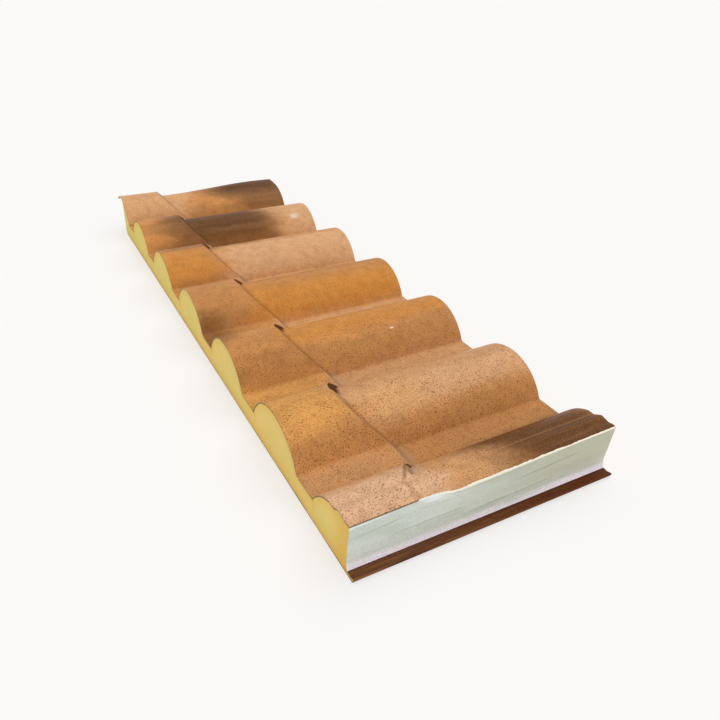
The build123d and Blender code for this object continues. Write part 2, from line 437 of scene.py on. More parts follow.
@dataclass(frozen=True)
class PrintedSteelFinish:
    """Satin printed coat of the skin, with bare steel at its cut edges and a grey coat below.

    scales are in cells to a metre. drift is how far the edges of patches wander. A patch whose
    edge is softer than crisp wanders, and one with a sharper edge stays a clean line. edge_depth
    is how much of the sheet's edge counts as cut. seam_width is the width of the painted shade in
    the step's root, and bloom_length that of the paler grey bloom below it.
    """

    skin: "PressedSkin"
    speckle_scale: float = 600.0
    mottle_scale: float = 75.0
    drift: float = 0.030
    crisp: float = 0.006
    coat_roughness: float = 0.44
    edge_depth: float = 0.00006
    seam_width: float = 0.0045
    bloom_length: float = 0.010
    rim_width: float = 0.0015
    rim_shade_end: tuple[float, float] = (-0.094, -0.098)
    dots: Shade = (122, 66, 36)
    dark_dots: Shade = (92, 50, 28)
    # colour of the painted shade in the step's root and over the riser in the pockets behind the
    # crests
    painted_shade: Shade = (66, 32, 6)
    # dark line along the near rim: the sheet's edge, with painted shade where it meets the paper
    rim_edge_and_shade: Shade = (66, 52, 42)
    steel: Shade = (118, 128, 118)
    back_coat: Shade = (176, 180, 172)

    def _patch(self, patch: InkPatch, along: Sock, across: Sock) -> Sock:
        """How much of a patch shows at a point.

        Args:
            patch: the patch.
            along: X of the point.
            across: Y of the point.

        Returns:
            A value from 0 to the patch's share.
        """
        side = across - self.skin.crest(patch.wave)
        lead = along + side * patch.slant if patch.slant else along
        share = patch.share
        for place, (low, high), soft in ((lead, patch.along, patch.soft_along),
                                         (side, patch.across, patch.soft_across)):
            from_middle = abs(place - (low + high) / 2)
            half = (high - low) / 2
            share = from_middle.rise(half + soft, max(half - soft, 0.0)) * share
        return share

    def material(self) -> bpy.types.Material:
        """Builds the material.

        Returns:
            The new material.
        """
        bench = Bench(bpy.data.materials.new("terracotta_print"))
        place = bench.place()
        x, y, z = bench.parts(place)
        colour, burnt = self._printed(bench, place, x, y)
        colour = self._speckled(bench, place, y, colour)
        fleck = bench.grain(place, self.speckle_scale * 1.3, 1.0, 0.4)
        colour = bench.coats(colour, (fleck.rise(0.54, 0.68) * burnt * 0.30, Ink.RUST.value))
        colour, shade_share = self._folds(bench, x, y, z, colour)
        colour, bare = self._edges(bench, x, y, colour)
        satin = bench.grain(place, 220.0, 3.0)
        roughness = (satin - 0.5) * 0.16 + self.coat_roughness + shade_share * 0.25
        peel = bench.grain(place, 900.0, 2.0)
        return bench.surface(Base_Color=colour, Roughness=roughness, Metallic=bare * 0.7,
                             Specular_IOR_Level=0.06, Normal=bench.bump(peel, 0.00006, 0.5))

    def _printed(self, bench: Bench, place: Sock, x: Sock, y: Sock) -> tuple[Sock, Sock]:
        """Lays the patches of ink over the ground colour.

        Args:
            bench: the material's bench.
            place: the point on the sheet.
            x: its X.
            y: its Y.

        Returns:
            The printed colour, and how scorched the point is.
        """
        cloud = bench.grain(place, 26.0, 3.0, stretch=(0.45, 1.0, 1.0))
        wisp = bench.grain(place, 60.0, 4.0, 0.6)
        along = x + (cloud - 0.5) * self.drift * 2.4 + (wisp - 0.5) * self.drift
        across = y + (wisp - 0.5) * self.drift * 0.5
        ground = Ink.TERRACOTTA.colour()
        colour = bench.blend(cloud.rise(0.35, 0.65), ground, Ink.RUST.colour())
        burnt = 0.0
        for patch in PRINT:
            lead, side = (x, y) if patch.soft_across < self.crisp else (along, across)
            shown = self._patch(patch, lead, side)
            colour = bench.coats(colour, (shown, patch.ink.value))
            if patch.ink is Ink.SCORCH:
                burnt = shown.largest(burnt)
        return colour, burnt

    def _speckled(self, bench: Bench, place: Sock, y: Sock, colour: Sock) -> Sock:
        """Lays the print's fine mottle and dark dots over a colour, with lengthwise pale streaks
        that are partly print and partly painted sheen.

        Args:
            bench: the material's bench.
            place: the point on the sheet.
            y: its Y. The dots are bolder towards the underlap rib.
            colour: the colour below.

        Returns:
            The speckled colour.
        """
        mottle = bench.grain(place, self.mottle_scale, 6.0, 0.65)
        stops = [(0.30, (0.84, 0.81, 0.77)), (0.5, (1.04, 1.03, 1.02)), (0.70, (1.18, 1.17, 1.15))]
        tone = bench.node("ShaderNodeValToRGB", {"stops": stops}, mottle)
        colour = bench.blend(0.8, colour, tone, "MULTIPLY")
        # Lengthwise pale streaks: partly print, partly painted sheen.
        streak_and_sheen = bench.grain(place, 130.0, 3.0, stretch=(0.04, 1.0, 1.0))
        colour = bench.coats(colour, (streak_and_sheen.rise(0.50, 0.78) * 0.08, Ink.ROSE.value))
        grit = bench.grain(place, self.speckle_scale * 1.7, 2.0, 0.6)
        colour = bench.blend(grit.rise(0.52, 0.70) * 0.30, colour, Ink.UMBER.colour(), "MULTIPLY")
        where = bench.grain(place, 40.0, 2.0)
        dots = bench.grain(place, self.speckle_scale, 1.0, 0.4) + (where - 0.5) * 0.10
        dark = bench.grain(place, self.speckle_scale * 0.8, 1.0, 0.4, stretch=(1.0, 1.0, 0.9))
        bold = y.rise(0.10, -0.35) * 0.55 + 0.45
        return bench.coats(colour, (dots.rise(0.55, 0.70) * bold * 0.72, self.dots),
                           (dark.rise(0.64, 0.76) * bold * 0.62, self.dark_dots))

    def _folds(self, bench: Bench, x: Sock, y: Sock, z: Sock, colour: Sock) -> tuple[Sock, Sock]:
        """Paints shade on the step, in its root and over the riser in the pockets behind the
        crests, and lays a paler grey bloom in the pans just below it.

        Args:
            bench: the material's bench.
            x: X of the point on the sheet.
            y: its Y.
            z: its Z.
            colour: the colour below.

        Returns:
            The colour, and how much painted shade the point has.
        """
        skin = self.skin
        from_crest = (y - skin.crest(skin.wave_count)).wrapped(skin.wave_pitch)
        from_riser = (x + z - skin.riser_sum) * math.sqrt(0.5)
        from_foot = y - skin.first_foot
        on_tiles = from_foot.rise(-0.040, -0.030)
        sheltered = from_crest.rise(0.010, 0.020) * from_crest.rise(0.068, 0.062)
        sheltered = sheltered * (from_foot.rise(-0.015, -0.008) * 0.9 + 0.1)
        # Painted shade: a dark line in the riser's root, and the riser itself darkened in the
        # pockets behind the crests.
        root = bench.attribute("root")
        riser = abs(from_riser).rise(0.0010, 0.0004)
        seam = from_riser.rise(self.seam_width, 0.0) * root * (sheltered * 0.6 + 0.32)
        shade_share = seam.largest(riser * sheltered * 0.96) * on_tiles
        below = from_riser.rise(self.bloom_length, 0.002) * from_riser.rise(-0.0012, -0.0004)
        half = skin.barrel_width / 2
        pan = abs(from_crest).rise(half - 0.010, half + 0.002)
        colour = bench.coats(colour, (shade_share, self.painted_shade),
                             (below * on_tiles * pan * 0.20, Ink.GREY.value))
        return colour, shade_share

    def _edges(self, bench: Bench, x: Sock, y: Sock, colour: Sock) -> tuple[Sock, Sock]:
        """Shows steel on the sheet's cut edges and the back coat on its underside.

        Args:
            bench: the material's bench.
            x: X of the point on the sheet.
            y: its Y.
            colour: the colour below.

        Returns:
            The colour with its edges, and how bare the steel is.
        """
        low, high = self.skin.low, self.skin.high
        turn = bench.node("ShaderNodeNewGeometry", out="Normal")
        underside = bench.parts(turn)[2].rise(-0.02, -0.08)
        # Dark line along the near rim, up to where the paper folds over: the sheet's edge, with
        # painted shade where it meets the paper.
        rim = y.rise(low.y + self.rim_width, low.y + 0.0006) * x.rise(*self.rim_shade_end)
        cut = abs(x).rise(high.x - 2 * self.edge_depth, high.x - self.edge_depth)
        side = y.rise(low.y + 2 * self.edge_depth, low.y + self.edge_depth)
        bare = cut.largest(side)
        colour = bench.coats(colour, (underside, self.back_coat), (rim * 0.65, self.rim_edge_and_shade),
                             (bare, self.steel))
        return colour, bare


@dataclass(frozen=True)
class FoamFinish:
    """Sawn rigid foam: fine cells, soft mottling and a darker skin of glue along the steel."""

    skin: "PressedSkin"
    warm: Shade = (238, 205, 122)
    green: Shade = (222, 208, 120)
    foot: Shade = (232, 190, 100)
    cell: Shade = (168, 142, 62)
    smear: Shade = (238, 220, 140)
    rind: Shade = (226, 176, 78)
    glue: Shade = (104, 92, 38)

    def material(self) -> bpy.types.Material:
        """Builds the material.

        Returns:
            The new material.
        """
        bench = Bench(bpy.data.materials.new("sawn_foam"))
        place = bench.place()
        x, y, z = bench.parts(place)
        cloud = bench.grain(place, 16.0, 4.0, 0.55)
        cells = bench.grain(place, 700.0, 3.0, 0.6)
        smear = bench.grain(place, 90.0, 4.0, 0.6, stretch=(1.0, 0.35, 1.0))
        greener = (y.rise(-0.45, 0.55) * 0.55 + cloud.rise(0.35, 0.70) * 0.6).smallest(1.0)
        depth = self._depth(bench, x, y, z) + (cloud - 0.5) * 0.004
        colour = bench.coats(bench.blend(greener, linear(self.warm), linear(self.green)),
                             (z.rise(0.030, 0.002) * 0.35, self.foot),
                             (cells.rise(0.45, 0.75) * 0.16, self.cell),
                             (smear.rise(0.50, 0.72) * 0.22, self.smear),
                             (depth.rise(0.014, 0.0) * 0.42, self.rind),
                             (y.rise(-0.470, -0.512) * 0.65, self.rind),
                             (depth.rise(0.0018, 0.0003) * 0.80, self.glue))
        grain = cells * 0.6 + smear * 0.4
        return bench.surface(Base_Color=colour, Roughness=0.92, Specular_IOR_Level=0.15,
                             Normal=bench.bump(grain, 0.0004, 0.6))

    def _depth(self, bench: Bench, x: Sock, y: Sock, z: Sock) -> Sock:
        """How deep a point of the foam lies below the skin or above the liner.

        Args:
            bench: the material's bench.
            x: X of the point.
            y: its Y.
            z: its Z.

        Returns:
            The smaller of the two distances, in metres.
        """
        skin = self.skin
        slope = skin.step_height / skin.course_length
        upper = (x + z).rise(skin.riser_sum + 0.0005, skin.riser_sum - 0.0005)
        lower = 1 - upper
        height = z - (x - skin.nose_x) * slope - skin.head_height - upper * skin.step_height
        from_crest = (y - skin.crest(skin.wave_count)).wrapped(skin.wave_pitch)
        up = height + (skin.barrel_radius - skin.barrel_rise)
        from_axis = (from_crest * from_crest + up * up).square_root()
        under_barrel = (skin.barrel_radius - skin.gauge) - from_axis
        under_pan = -skin.gauge - height
        from_foot = y - skin.first_foot
        (high_y, high_z), (low_y, low_z) = skin.flank_centre(0.0), skin.flank_centre(skin.rib_lift)
        off_y = from_foot - high_y - lower * (low_y - high_y)
        off_z = height - high_z - lower * (low_z - high_z)
        from_flank = (off_y * off_y + off_z * off_z).square_root()
        flank = (skin.flank_radius - skin.gauge) - from_flank
        crown = skin.flank_rise + lower * skin.rib_lift
        crown = crown + from_foot.rise(-0.046, -0.055) * skin.bead_rise * 0.9 - height
        crown = crown - from_foot.rise(-0.057, -0.066) * skin.bead_fall * 0.7
        rib = bench.choice(from_foot.rise(-0.035, -0.037), flank, crown)
        tiles = under_barrel.largest(under_pan)
        under_skin = bench.choice(from_foot.rise(0.0005, -0.0005), tiles, rib)
        return under_skin.smallest(z - 0.0004)


@dataclass(frozen=True)
class PaperFinish:
    """Pale foil-faced paper on the core's edge, pinkish at its foot and cream where it is torn."""

    base: Shade = (216, 220, 212)
    shade: Shade = (198, 206, 194)
    raised: Shade = (224, 230, 218)
    pressed: Shade = (160, 174, 160)
    # duller, yellower tone towards the lower cut
    lower_cut_tone: Shade = (184, 182, 154)
    low: Shade = (224, 224, 216)
    foot: Shade = (252, 241, 250)
    fleck: Shade = (164, 172, 158)
    # colour of the painted shadow line below each crease
    crease_shadow: Shade = (112, 118, 104)
    torn: Shade = (246, 236, 216)
    crinkle: Shade = (232, 238, 234)
    creases: tuple["Crease", ...] = ()

    def _line(self, crease: "Crease", x: Sock, z: Sock) -> Sock:
        """How strongly the fine shadow line of a crease shows at a point.

        Args:
            crease: the crease.
            x: X of the point.
            z: its Z.

        Returns:
            A value from 0 to the crease's ink.
        """
        (start_x, start_z), (end_x, end_z) = crease.start, crease.end
        climb = (end_z - start_z) / (end_x - start_x)
        away = abs(z - (x - start_x) * climb - start_z + crease.width * 0.5)
        run = (x - (start_x + end_x) / 2) * (2 / (end_x - start_x))
        return away.rise(crease.width * 0.45, 0.0) * abs(run).rise(1.0, 0.55) * crease.ink

    def material(self) -> bpy.types.Material:
        """Builds the material.

        Returns:
            The new material.
        """
        bench = Bench(bpy.data.materials.new("foil_paper"))
        place = bench.place()
        x, _, z = bench.parts(place)
        wide = bench.grain(place, 38.0, 4.0, 0.6, stretch=(0.35, 1.0, 1.0))
        pulled = bench.grain(place, 260.0, 3.0, 0.6, stretch=(0.12, 1.0, 1.0))
        fleck = bench.grain(place, 420.0, 3.0, 0.7)
        drape = z + (wide - 0.5) * 0.006
        colour = bench.blend(wide.rise(0.36, 0.66), linear(self.base), linear(self.shade))
        colour = bench.coats(colour, (pulled.rise(0.50, 0.72) * 0.14, self.raised),
                             (pulled.rise(0.46, 0.30) * 0.12, self.pressed),
                             (x.rise(-0.14, 0.15) * 0.82, self.lower_cut_tone),
                             (drape.rise(0.030, 0.006) * 0.65, self.low),
                             (drape.rise(0.013, 0.005) * 0.95, self.foot),
                             (fleck.rise(0.42, 0.70) * 0.30, self.fleck))
        for crease in self.creases:
            colour = bench.coats(colour, (self._line(crease, x, z), self.crease_shadow))
        colour = bench.coats(colour, (bench.attribute("torn"), self.torn),
                             (bench.attribute("crinkle"), self.crinkle))
        fibre = bench.grain(place, 480.0, 3.0, 0.6) * 0.5 + pulled * 0.5
        return bench.surface(Base_Color=colour, Roughness=(wide - 0.5) * 0.2 + 0.55,
                             Specular_IOR_Level=0.35, Normal=bench.bump(fibre, 0.0008, 0.8))


@dataclass(frozen=True)
class WoodPrintFinish:
    """Satin wood-grain print of the liner, which runs along the panel."""

    dark: Shade = (76, 46, 32)
    brown: Shade = (114, 74, 49)
    light: Shade = (136, 88, 54)
    red: Shade = (92, 47, 18)
    root: Shade = (56, 34, 46)
    steel: Shade = (96, 100, 96)
    # colour of the painted shade along the lip's bottom edge, where it meets the floor
    painted_shade: Shade = (36, 22, 18)

    def material(self) -> bpy.types.Material:
        """Builds the material.

        Returns:
            The new material.
        """
        bench = Bench(bpy.data.materials.new("wood_grain_print"))
        place = bench.place()
        x, y, z = bench.parts(place)
        sway = bench.grain(place, 5.0, 2.0, stretch=(1.0, 3.0, 3.0))
        shift = bench.node("ShaderNodeCombineXYZ", None, 0.0, (sway - 0.5) * 0.010, 0.0)
        bent = bench.node("ShaderNodeVectorMath", {"operation": "ADD"},
                          bench.stretched(place, (0.03, 1.0, 1.0)), shift)
        veins = bench.grain(bent, 380.0, 5.0, 0.65)
        pores = bench.grain(place, 900.0, 2.0, stretch=(0.05, 1.0, 1.0))
        stops = [(0.32, linear(self.dark)), (0.48, linear(self.brown)),
                 (0.62, linear(self.light)), (0.74, linear(self.brown))]
        # Painted shade along the lip's bottom edge, where it meets the floor.
        shade_share = z.rise(0.0010, 0.0002) * y.rise(-0.5240, -0.5262)
        colour = bench.coats(bench.node("ShaderNodeValToRGB", {"stops": stops}, veins),
                             (pores.rise(0.55, 0.72) * 0.5, self.dark),
                             (x.rise(-0.16, 0.13) * 0.8, self.red),
                             (y.rise(-0.5185, -0.5150) * 0.6, self.root),
                             (abs(x).rise(0.17088, 0.17094), self.steel),
                             (shade_share * 0.7, self.painted_shade))
        relief = pores * 0.4 + veins * 0.6
        return bench.surface(Base_Color=colour, Roughness=(veins - 0.5) * 0.2 + 0.42,
                             Specular_IOR_Level=0.02, Normal=bench.bump(relief, 0.0001, 0.5))


@dataclass(frozen=True)
class FloorFinish:
    """Pale floor that fades into the white surround away from the panel.

    glow is how much of the white the camera sees in place of the lit floor. From clear_from to
    clear_to, measured from the panel's middle, the floor turns clear.
    """

    colour: tuple[float, float, float]
    white: tuple[float, float, float]
    glow: float
    clear_from: float
    clear_to: float

    def material(self) -> bpy.types.Material:
        """Builds the material.

        Returns:
            The new material.
        """
        bench = Bench(bpy.data.materials.new("pale_floor"))
        length = {"operation": "LENGTH"}
        reach = bench.node("ShaderNodeVectorMath", length, bench.place(), out="Value")
        diffuse = bench.node("ShaderNodeBsdfDiffuse", None, Color=self.colour)
        glow = bench.node("ShaderNodeEmission", None, Color=self.white, Strength=1.0)
        lit = bench.mixed(bench.seen() * self.glow, diffuse, glow)
        clear = bench.node("ShaderNodeBsdfTransparent")
        bench.end(bench.mixed(reach.rise(self.clear_from, self.clear_to), lit, clear))
        return bench.owner


class Piece:
    """Turns a bmesh into a finished piece of the object."""

    @staticmethod
    def finish(bm: bmesh.types.BMesh, name: str, slot: str, material: bpy.types.Material,
               sharp_deg: float = 35.0) -> bpy.types.Object:
        """Makes the object, dresses it and has it ride on the part.

        Args:
            bm: the finished shape, freed here.
            name: the piece's name.
            slot: the record's material slot. It is not used.
            material: the finish.
            sharp_deg: edges that turn more than this stay sharp.

        Returns:
            The new object.
        """
        mesh = bpy.data.meshes.new(name)
        bm.to_mesh(mesh)
        bm.free()
        mesh.materials.append(material)
        mesh.polygons.foreach_set("use_smooth", [True] * len(mesh.polygons))
        mesh.set_sharp_from_angle(angle=math.radians(sharp_deg))
        piece = bpy.data.objects.new(name, mesh)
        bpy.context.scene.collection.objects.link(piece)
        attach(piece, BODY)
        LOG.info("%s: %d faces", name, len(mesh.polygons))
        return piece

    @staticmethod
    def hold(bm: bmesh.types.BMesh, low: Vector, high: Vector) -> None:
        """Keeps a shape inside a box: what stands out is pushed back to its faces.

        Args:
            bm: the shape.
            low: the box's lowest corner.
            high: its highest corner.
        """
        for vert in bm.verts:
            limits = zip(vert.co, low, high)
            vert.co = Vector(min(max(value, least), most) for value, least, most in limits)


def smooth(value: float, low: float, high: float) -> float:
    """Smooth step of a plain number.

    Args:
        value: the number.
        low: where the step starts.
        high: where it is complete. It may be the smaller of the two.

    Returns:
        The step, from 0 to 1.
    """
    share = min(max((value - low) / (high - low), 0.0), 1.0)
    return share * share * (3 - 2 * share)


def ripple(x: float, y: float, z: float) -> float:
    """Smooth noise at a point, from about -1 to 1."""
    return noise.noise(Vector((x, y, z)))


@dataclass
class PressedSkin:
    """The steel sheet on top, roll-formed into ribs and pressed into courses of tiles.

    Lengths are in metres. A run, reach or width lies across the ribs, and a rise, fall or lift
    is a height. The ease is the soft step of the underlap rib, from ease_from to ease_to across
    its foot. The bend lifts the free lap of the overlap rib towards the lower cut.
    """

    wave_count: int = 6
    wave_pitch: float = 1.0 / 6
    barrel_width: float = 0.128
    barrel_rise: float = 0.040
    foot_radius: float = 0.006
    course_length: float = 0.350
    step_height: float = 0.010
    rib_step: float = 0.007
    head_height: float = 0.023
    nose_from_cut: float = 0.115
    nose_radius: float = 0.0016
    gauge: float = 0.0005
    flank_run: float = 0.036
    flank_rise: float = 0.0278
    flank_radius: float = 0.060
    ledge_width: float = 0.009
    bead_run: float = 0.010
    bead_rise: float = 0.0056
    bead_fall_run: float = 0.0115
    bead_fall: float = 0.0028
    landing_width: float = 0.0108
    landing_lift: float = 0.0012
    landing_lift_run: float = 0.0049
    rim_fall: float = 0.0011
    rim_run: float = 0.0021
    bead_radius: float = 0.004
    lap_past_crest: float = 0.024
    lap_gap: float = 0.0015
    ease_reach: float = 0.018
    ease_from: float = -0.034
    ease_to: float = -0.048
    crisp_margin: float = 0.002
    bend_from: float = -0.070
    bend_to: float = 0.150
    bend_across: tuple[float, float] = (-0.008, 0.012)
    bend_lead: float = 0.004
    bend_stations: int = 12
    lap_clearance: float = 0.0003
    step_cuts: tuple[float, ...] = (0.003, 0.007, 0.012, 0.018, 0.025, 0.034)
    barrel_steps: int = 40
    flank_steps: int = 12
    corner_steps: int = 5
    nose_steps: int = 4
    low: Vector = field(default_factory=lambda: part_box("top_sheet")[0])
    high: Vector = field(default_factory=lambda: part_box("top_sheet")[1])

    @property
    def barrel_radius(self) -> float:
        """Radius of the barrels' arc."""
        return ((self.barrel_width / 2) ** 2 + self.barrel_rise**2) / (2 * self.barrel_rise)

    @property
    def first_foot(self) -> float:
        """Y of the foot of the underlap rib."""
        return self.low.y + self.flank_run + self.ledge_width + self.bead_run \
            + self.bead_fall_run + self.landing_width

    @property
    def nose_x(self) -> float:
        """X of the course's nose, over a pan."""
        return self.low.x + self.nose_from_cut

    @property
    def nose_height(self) -> float:
        """Height of the pans at the nose."""
        return self.head_height + self.step_height

    @property
    def riser_sum(self) -> float:
        """X plus Z of every point on the raked riser."""
        return self.nose_x + self.nose_height

    @property
    def rib_lift(self) -> float:
        """How much higher the side-lap ribs stand above the pans of the lower course."""
        return self.step_height - self.rib_step

    def crest(self, wave: int) -> float:
        """Y of a wave's crest line, counted from the overlap rib as 1."""
        from_last = (self.wave_count + 1 - wave) * self.wave_pitch
        return self.first_foot + from_last - self.barrel_width / 2

    def flank_centre(self, lift: float) -> tuple[float, float]:
        """Centre of the arc of the underlap rib's flank.

        Args:
            lift: how much higher than drawn the rib stands.

        Returns:
            Y from the rib's foot, and height above the pans.
        """
        chord = Vector((self.flank_run, -self.flank_rise - lift))
        across = Vector((chord.y, -chord.x)).normalized()
        to_centre = math.sqrt(self.flank_radius**2 - (chord.length / 2) ** 2)
        centre = Vector((-self.flank_run, self.flank_rise + lift)) + chord / 2 + across * to_centre
        return centre.x, centre.y

    def rim_height(self, x: float) -> float:
        """Height of the sheet's near rim along the panel.

        Args:
            x: the place along the panel.

        Returns:
            The rim's Z.
        """
        rib = self.flank_rise + self.bead_rise - self.bead_fall + self.landing_lift - self.rim_fall
        pans = self.nose_height + (x - self.nose_x) * self.step_height / self.course_length
        return pans + rib - self._eased(x) * self.rib_step

    def _eased(self, x: float) -> float:
        """How far the underlap rib has come down its soft step, from 0 to 1."""
        riser = self.nose_x - self.flank_rise
        return smooth(x, riser, riser + 2 * self.ease_reach)

    def _arc(self, bm: bmesh.types.BMesh, tip: bmesh.types.BMVert, centre: Vector, angle: float,
             steps: int) -> bmesh.types.BMVert:
        """Draws the section on along an arc across the ribs.

        Args:
            bm: the section.
            tip: its last vertex.
            centre: the arc's centre.
            angle: how far the arc turns.
            steps: its number of edges.

        Returns:
            The new last vertex.
        """
        made = bmesh.ops.spin(bm, geom=[tip], cent=centre, axis=(1, 0, 0), dvec=(0, 0, 0),
                              angle=angle, steps=steps, use_merge=False, use_duplicate=False)
        return next(v for v in made["geom_last"] if isinstance(v, bmesh.types.BMVert))

    @staticmethod
    def _straight(bm: bmesh.types.BMesh, tip: bmesh.types.BMVert, y: float,
                  z: float) -> bmesh.types.BMVert:
        """Draws the section on to a point.

        Args:
            bm: the section.
            tip: its last vertex.
            y: the point's Y.
            z: its height above the pans.

        Returns:
            The new last vertex.
        """
        new = bmesh.ops.extrude_vert_indiv(bm, verts=[tip])["verts"][0]
        new.co = Vector((tip.co.x, y, z))
        return new

    def section(self, lift: float) -> bmesh.types.BMesh:
        """Draws the sheet's section in the YZ plane, with the pans at height 0.

        Args:
            lift: how much higher than drawn the side-lap ribs stand.

        Returns:
            A bmesh that holds a chain of edges.
        """
        bm = bmesh.new()
        foot = self.first_foot
        ledge = self.flank_rise + lift
        bead = ledge + self.bead_rise
        crease = bead - self.bead_fall
        landing = crease + self.landing_lift
        rim = (0, self.low.y, landing - self.rim_fall)
        tip = bmesh.ops.create_vert(bm, co=rim)["vert"][0]
        corners = []
        ledge_end = foot - self.flank_run - self.ledge_width
        crease_at = ledge_end - self.bead_run - self.bead_fall_run
        for y, z in ((self.low.y + self.rim_run, landing),
                     (crease_at - self.landing_lift_run, landing), (crease_at, crease),
                     (ledge_end - self.bead_run, bead), (ledge_end, ledge),
                     (foot - self.flank_run, ledge)):
            tip = self._straight(bm, tip, y, z)
            corners.append(tip)
        centre_y, centre_z = self.flank_centre(lift)
        centre = Vector((0, foot + centre_y, centre_z))
        half = math.asin(math.hypot(self.flank_run, ledge) / 2 / self.flank_radius)
        tip = self._arc(bm, tip, centre, -2 * half, self.flank_steps)
        feet = [tip]
        drop = self.barrel_radius - self.barrel_rise
        opening = math.asin(self.barrel_width / 2 / self.barrel_radius)
        past = math.asin(self.lap_past_crest / self.barrel_radius)
        for wave in range(self.wave_count, 0, -1):
            tip = self._straight(bm, tip, self.crest(wave) - self.barrel_width / 2, 0.0)
            feet.append(tip)
            centre = Vector((0, self.crest(wave), -drop))
            turn = opening + past if wave == 1 else 2 * opening
            tip = self._arc(bm, tip, centre, -turn, self.barrel_steps)
            if wave > 1:
                feet.append(tip)
        self._straight(bm, tip, self.high.y, ledge + self.gauge + self.lap_gap)
        for verts, radius in ((corners, self.bead_radius), (feet, self.foot_radius)):
            self._round(bm, verts, radius)
        return bm

    def _round(self, bm: bmesh.types.BMesh, verts: list, radius: float) -> None:
        """Rounds corners of the section.

        Args:
            bm: the section.
            verts: the corners.
            radius: the radius that each gets, or less where its edges are too short for it.
        """
        for vert in verts:
            first, second = (e.other_vert(vert).co - vert.co for e in vert.link_edges)
            turn = math.pi - first.angle(second)
            reach = radius * math.tan(turn / 2)
            reach = min(reach, 0.45 * first.length, 0.45 * second.length)
            bmesh.ops.bevel(bm, geom=[vert], offset=reach, offset_type="OFFSET",
                            segments=self.corner_steps, profile=0.5, affect="VERTICES",
                            material=-1)

    def course(self, lower: bool) -> bmesh.types.BMesh:
        """Sweeps the section along one course, cuts it at its two ends, and settles it.

        Args:
            lower: whether this is the course below the step.

        Returns:
            The course's outer face as an open shell, whose edge at the riser is marked as a seam.
        """
        bm = self.section(self.rib_lift if lower else 0.0)
        run = self.high.x - self.low.x
        along = Vector((self.course_length, 0, self.step_height)).normalized()
        tilt = Matrix.Rotation(-math.atan2(self.step_height, self.course_length), 3, "Y")
        pan_height = self.head_height if lower else self.nose_height
        start = Vector((self.nose_x, 0, pan_height)) - along * run
        bmesh.ops.rotate(bm, cent=(0, 0, 0), matrix=tilt, verts=bm.verts)
        bmesh.ops.translate(bm, vec=start, verts=bm.verts)
        swept = bmesh.ops.extrude_edge_only(bm, edges=bm.edges[:])
        ends = [v for v in swept["geom"] if isinstance(v, bmesh.types.BMVert)]
        bmesh.ops.translate(bm, vec=along * 2 * run, verts=ends)
        away = 1 if lower else -1
        rake = Vector((1, 0, 1))
        nose = Vector((self.nose_x, 0, self.nose_height))
        saw_cut = Vector((self.high.x if lower else self.low.x, 0, 0))
        self._cut(bm, nose, rake * -away, True)
        self._cut(bm, saw_cut, Vector((away, 0, 0)), True)
        root = bm.verts.layers.float.new("root")
        for edge in bm.edges:
            edge.seam = edge.is_boundary and all(self._on_riser(v.co) for v in edge.verts)
            for vert in edge.verts:
                vert[root] = float(lower and self._on_riser(vert.co))
        for reach in self.step_cuts:
            self._cut(bm, nose + Vector((reach * away, 0, 0)), rake, False)
        if lower:
            first = self.bend_from - self.bend_lead
            for station in range(self.bend_stations):
                place = first + (self.high.x - self.bend_from) * station / self.bend_stations
                self._cut(bm, Vector((place, 0, 0)), Vector((1, 0, 0)), False)
        self._settle(bm, lower)
        return bm

    @staticmethod
    def _cut(bm: bmesh.types.BMesh, point: Vector, away: Vector, clear: bool) -> None:
        """Cuts the shape at a plane.

        Args:
            bm: the shape.
            point: a point of the plane.
            away: the plane's normal.
            clear: whether the side that the normal points to is cleared.
        """
        bmesh.ops.bisect_plane(bm, geom=bm.verts[:] + bm.edges[:] + bm.faces[:], dist=MERGE_DIST,
                               plane_co=point, plane_no=away, clear_outer=clear, clear_inner=False)

    def _settle(self, bm: bmesh.types.BMesh, lower: bool) -> None:
        """Softens the step on the underlap rib, and bends the free lap up at the lower end.

        Args:
            bm: the course.
            lower: whether it is the one below the step.
        """
        flat = CAD_BOX[1][2] - self.lap_clearance
        for vert in bm.verts:
            across = vert.co.y - self.first_foot
            eased = self._eased(vert.co.x)
            drop = (eased - 1 if lower else eased) * self.rib_step
            vert.co.z -= drop * smooth(across, self.ease_from, self.ease_to)
            if lower:
                bend = smooth(vert.co.x, self.bend_from, self.bend_to) \
                    * smooth(vert.co.y - self.crest(1), *self.bend_across)
                vert.co.z += (flat - vert.co.z) * bend

    def build(self, material: bpy.types.Material) -> bpy.types.Object:
        """Joins the two courses by their riser and gives the sheet its thickness.

        Args:
            material: the printed finish.

        Returns:
            The piece.
        """
        bm = self.course(lower=False)
        lower = self.course(lower=True)
        carrier = bpy.data.meshes.new("lower_course")
        lower.to_mesh(carrier)
        lower.free()
        bm.from_mesh(carrier)
        bpy.data.meshes.remove(carrier)
        bmesh.ops.bridge_loops(bm, edges=[e for e in bm.edges if e.seam])
        bmesh.ops.remove_doubles(bm, verts=bm.verts, dist=MERGE_DIST)
        bmesh.ops.recalc_face_normals(bm, faces=bm.faces)
        if sum(f.normal.z for f in bm.faces) < 0:
            bmesh.ops.reverse_faces(bm, faces=bm.faces)
        crisp = self.first_foot + self.ease_from + self.crisp_margin
        folds = [e for e in bm.edges if e.seam and not e.is_boundary
                 and all(v.co.y > crisp for v in e.verts)]
        bmesh.ops.bevel(bm, geom=folds, offset=self.nose_radius, offset_type="OFFSET",
                        segments=self.nose_steps, profile=0.5, affect="EDGES", material=-1,
                        clamp_overlap=True)
        for edge in bm.edges:
            edge.seam = False
        bmesh.ops.solidify(bm, geom=bm.faces[:], thickness=self.gauge)
        Piece.hold(bm, self.low, self.high)
        return Piece.finish(bm, "printed_top_sheet", "printed_skin", material)

